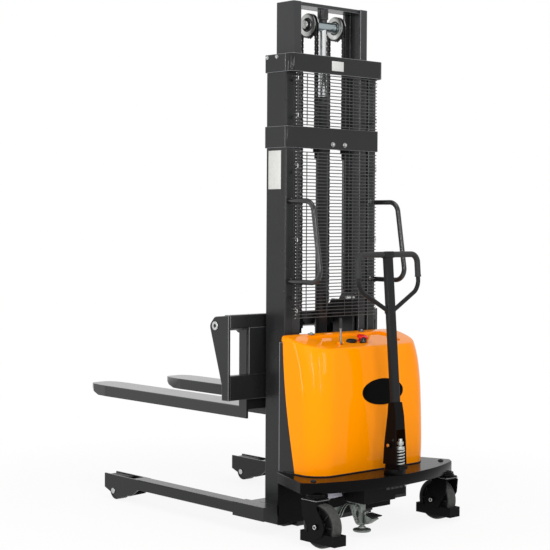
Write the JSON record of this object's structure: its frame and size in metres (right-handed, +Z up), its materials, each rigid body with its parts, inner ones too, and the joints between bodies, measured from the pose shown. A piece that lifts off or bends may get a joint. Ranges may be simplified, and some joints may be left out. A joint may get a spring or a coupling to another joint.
{
  "type": "semi-electric stacker",
  "caption": "Walk-behind stacker: telescopic chain-lift mast with mesh guard, pallet forks on a sliding carriage, straddle legs, moulded battery cover, steered tiller and castors",
  "frame": {"origin": "on the floor, at the centre of the bounding box in plan", "axes": "+Z up along the mast, +Y towards the fork tips, +X to the right of an operator who faces the forks"},
  "size_m": [0.9248, 1.881, 2.265],
  "materials": {
    "mast_paint": "satin dark grey enamel",
    "base_paint": "gloss black enamel",
    "cover_plastic": "glossy orange moulding",
    "black_plastic": "fine-grained black plastic",
    "zinc": "zinc plated",
    "ground_steel": "hard chromed and polished",
    "chain_steel": "oiled chain steel",
    "wheel_tread": "grey tread on a dark hub",
    "roller_nylon": "dark nylon",
    "stop_red": "glossy red",
    "battery_case": "moulded battery case",
    "pump_paint": "painted tank and motor"
  },
  "bodies": {
    "chassis": {"outer_mast_left": "mast_paint", "outer_mast_right": "mast_paint", "upper_crossbeam": "mast_paint", "lower_crossbeam": "mast_paint", "crossbeam_cheeks": "mast_paint", "mesh_guard": "mast_paint", "grab_handles": "mast_paint", "base_crossmember": "mast_paint", "base_wall": "mast_paint", "straddle_leg_left": "mast_paint", "straddle_leg_right": "mast_paint", "load_axles": "zinc", "deck_plate": "base_paint", "side_panels": "mast_paint", "cover": "cover_plastic", "battery": "battery_case", "power_unit": "pump_paint", "cylinder_barrel": "base_paint", "chain_anchor_bolts": "zinc", "rear_chains": "chain_steel", "switch_bodies": "black_plastic", "fasteners": "zinc", "steering_housings": "base_paint", "lock_bracket": "zinc"},
    "inner_mast": {"inner_mast_left": "mast_paint", "inner_mast_right": "mast_paint", "inner_mast_ties": "mast_paint", "ram_rod": "ground_steel", "sheave_axle": "zinc", "chain_wraps": "chain_steel", "mast_shoes": "black_plastic"},
    "left_sheave": {"sheave_left": "zinc"},
    "right_sheave": {"sheave_right": "zinc"},
    "carriage": {"carriage_side_plates": "mast_paint", "carriage_top_beam": "mast_paint", "carriage_lower_beam": "mast_paint", "carriage_uprights": "mast_paint", "carriage_shoes": "mast_paint", "fork_shaft": "zinc", "front_chains": "chain_steel", "chain_clevises": "zinc"},
    "left_fork": {"fork_left": "mast_paint"},
    "right_fork": {"fork_right": "mast_paint"},
    "tiller_base": {"turntable": "base_paint", "tiller_pin": "zinc", "spring_rod": "ground_steel", "return_spring": "ground_steel"},
    "tiller_arm": {"tiller_yoke": "base_paint", "tiller_tube": "base_paint", "tiller_loop": "black_plastic"},
    "left_castor": {"castor_fork_left": "base_paint"},
    "right_castor": {"castor_fork_right": "base_paint"},
    "left_castor_wheel": {"castor_wheel_left": "wheel_tread"},
    "right_castor_wheel": {"castor_wheel_right": "wheel_tread"},
    "left_load_roller": {"load_roller_left": "roller_nylon"},
    "right_load_roller": {"load_roller_right": "roller_nylon"},
    "lock_foot": {"lock_plunger": "zinc"},
    "lock_rocker": {"lock_pedal": "zinc"},
    "lever": {"lift_lever": "ground_steel"},
    "stop_button": {"estop_button": "stop_red"}
  },
  "joints": [
    {"name": "mast_lift", "type": "slide", "parent": "chassis", "child": "inner_mast", "axis": [0, 0, 1], "range_m": [-0.212, 1.235], "deforming": ["rear_chains"]},
    {"name": "carriage_lift", "type": "slide", "parent": "inner_mast", "child": "carriage", "axis": [0, 0, 1], "range_m": [-0.212, 1.235], "deforming": ["front_chains"]},
    {"name": "left_sheave_spin", "type": "hinge", "parent": "inner_mast", "child": "left_sheave", "pos_m": [-0.0828, -0.4107, 2.177], "axis": [1, 0, 0], "range_deg": [-260, 1500]},
    {"name": "right_sheave_spin", "type": "hinge", "parent": "inner_mast", "child": "right_sheave", "pos_m": [0.0828, -0.4107, 2.177], "axis": [1, 0, 0], "range_deg": [-260, 1500]},
    {"name": "left_fork_shift", "type": "slide", "parent": "carriage", "child": "left_fork", "axis": [1, 0, 0], "range_m": [-0.035, 0.13]},
    {"name": "right_fork_shift", "type": "slide", "parent": "carriage", "child": "right_fork", "axis": [1, 0, 0], "range_m": [-0.13, 0.035]},
    {"name": "tiller_yaw", "type": "hinge", "parent": "chassis", "child": "tiller_base", "pos_m": [0, -0.8645, 0.262], "axis": [0, 0, 1], "range_deg": [-85, 85]},
    {"name": "tiller_tilt", "type": "hinge", "parent": "tiller_base", "child": "tiller_arm", "pos_m": [0, -0.8605, 0.384], "axis": [1, 0, 0], "range_deg": [0, 75], "stiffness_Nm_per_rad": 45, "springref_deg": -34.38},
    {"name": "left_castor_swivel", "type": "hinge", "parent": "chassis", "child": "left_castor", "pos_m": [-0.397, -0.7965, 0.2], "axis": [0, 0, 1], "range_deg": [-85, 85]},
    {"name": "right_castor_swivel", "type": "hinge", "parent": "chassis", "child": "right_castor", "pos_m": [0.397, -0.7965, 0.2], "axis": [0, 0, 1], "range_deg": [-85, 85]},
    {"name": "left_castor_roll", "type": "hinge", "parent": "left_castor", "child": "left_castor_wheel", "pos_m": [-0.397, -0.8385, 0.09], "axis": [1, 0, 0], "continuous": true},
    {"name": "right_castor_roll", "type": "hinge", "parent": "right_castor", "child": "right_castor_wheel", "pos_m": [0.397, -0.7545, 0.09], "axis": [1, 0, 0], "continuous": true},
    {"name": "left_load_roll", "type": "hinge", "parent": "chassis", "child": "left_load_roller", "pos_m": [-0.3995, 0.5435, 0.042], "axis": [1, 0, 0], "continuous": true},
    {"name": "right_load_roll", "type": "hinge", "parent": "chassis", "child": "right_load_roller", "pos_m": [0.3995, 0.5435, 0.042], "axis": [1, 0, 0], "continuous": true},
    {"name": "lock_plunge", "type": "slide", "parent": "chassis", "child": "lock_foot", "axis": [0, 0, 1], "range_m": [-0.0215, 0]},
    {"name": "lock_rock", "type": "hinge", "parent": "chassis", "child": "lock_rocker", "pos_m": [-0.12, -0.8095, 0.1], "axis": [0, 1, 0], "range_deg": [0, 14.5]},
    {"name": "lever_swing", "type": "hinge", "parent": "chassis", "child": "lever", "pos_m": [-0.13, -0.66569, 0.8058], "axis": [1, 0, 0], "range_deg": [-18, 18], "stiffness_Nm_per_rad": 1},
    {"name": "stop_press", "type": "slide", "parent": "chassis", "child": "stop_button", "axis": [0, 0.2438, -0.9698], "range_m": [0, 0.005], "stiffness_N_per_m": 700, "springref_m": -0.002}
  ],
  "couplings": [
    {"joint": "carriage_lift", "follows": "mast_lift", "ratio": 1},
    {"joint": "left_sheave_spin", "follows": "mast_lift", "rad_per_m": 21.05},
    {"joint": "right_sheave_spin", "follows": "mast_lift", "rad_per_m": 21.05},
    {"joint": "left_castor_swivel", "follows": "tiller_yaw", "ratio": 1},
    {"joint": "right_castor_swivel", "follows": "tiller_yaw", "ratio": 1},
    {"joint": "lock_rock", "follows": "lock_plunge", "rad_per_m": -11.36}
  ]
}
